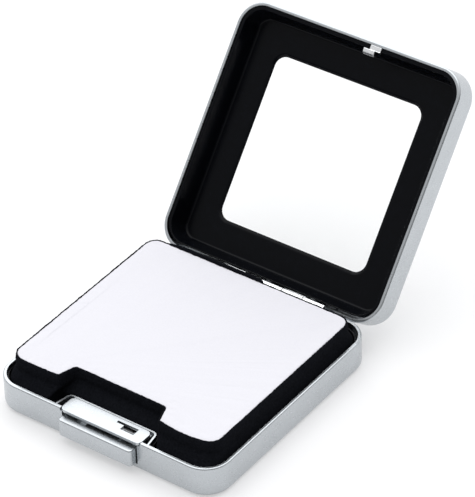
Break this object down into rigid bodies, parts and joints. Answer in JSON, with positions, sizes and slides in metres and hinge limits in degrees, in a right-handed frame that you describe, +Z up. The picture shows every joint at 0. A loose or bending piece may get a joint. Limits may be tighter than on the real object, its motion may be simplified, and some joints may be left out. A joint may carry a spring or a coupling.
{
  "type": "gemstone display box",
  "caption": "Low square metal display box with rounded corners, a hinged window lid, a push-button latch and a soft white-faced foam pad.",
  "frame": {"origin": "centre of the base shell's flat underside", "axes": "+Z up from the table, +X to the right along the latch wall seen from the front, +Y from the latch wall to the hinge"},
  "size_m": [0.06, 0.1051, 0.0544],
  "materials": {
    "satin_metal": "satin",
    "bright_metal": "polished",
    "spring_steel": "satin",
    "black_plastic": "matte",
    "black_foam": "soft",
    "white_velvet": "soft",
    "clear_glass": "clear"
  },
  "bodies": {
    "base": {"base_shell": "satin_metal", "base_liner": "black_plastic", "foam_pad": "black_foam", "pad_face": "white_velvet", "latch_cover_plate": "satin_metal", "latch_springs": "spring_steel", "base_hinge_leaf": "bright_metal", "base_hinge_rivets": "satin_metal", "hinge_pin": "spring_steel"},
    "lid": {"lid_shell": "satin_metal", "lid_liner": "black_plastic", "window_pane": "clear_glass", "lid_hook": "bright_metal", "lid_hinge_leaf": "bright_metal", "lid_hinge_rivets": "satin_metal"},
    "button": {"push_button": "satin_metal", "latch_catch": "spring_steel"}
  },
  "joints": [
    {"name": "lid_hinge", "type": "hinge", "parent": "base", "child": "lid", "pos_m": [0, 0.02985, 0.0078], "axis": [-1, 0, 0], "range_deg": [-129, 0]},
    {"name": "button_press", "type": "slide", "parent": "base", "child": "button", "axis": [0, 1, 0], "range_m": [0, 0.0008], "stiffness_N_per_m": 600, "springref_m": -0.001}
  ]
}
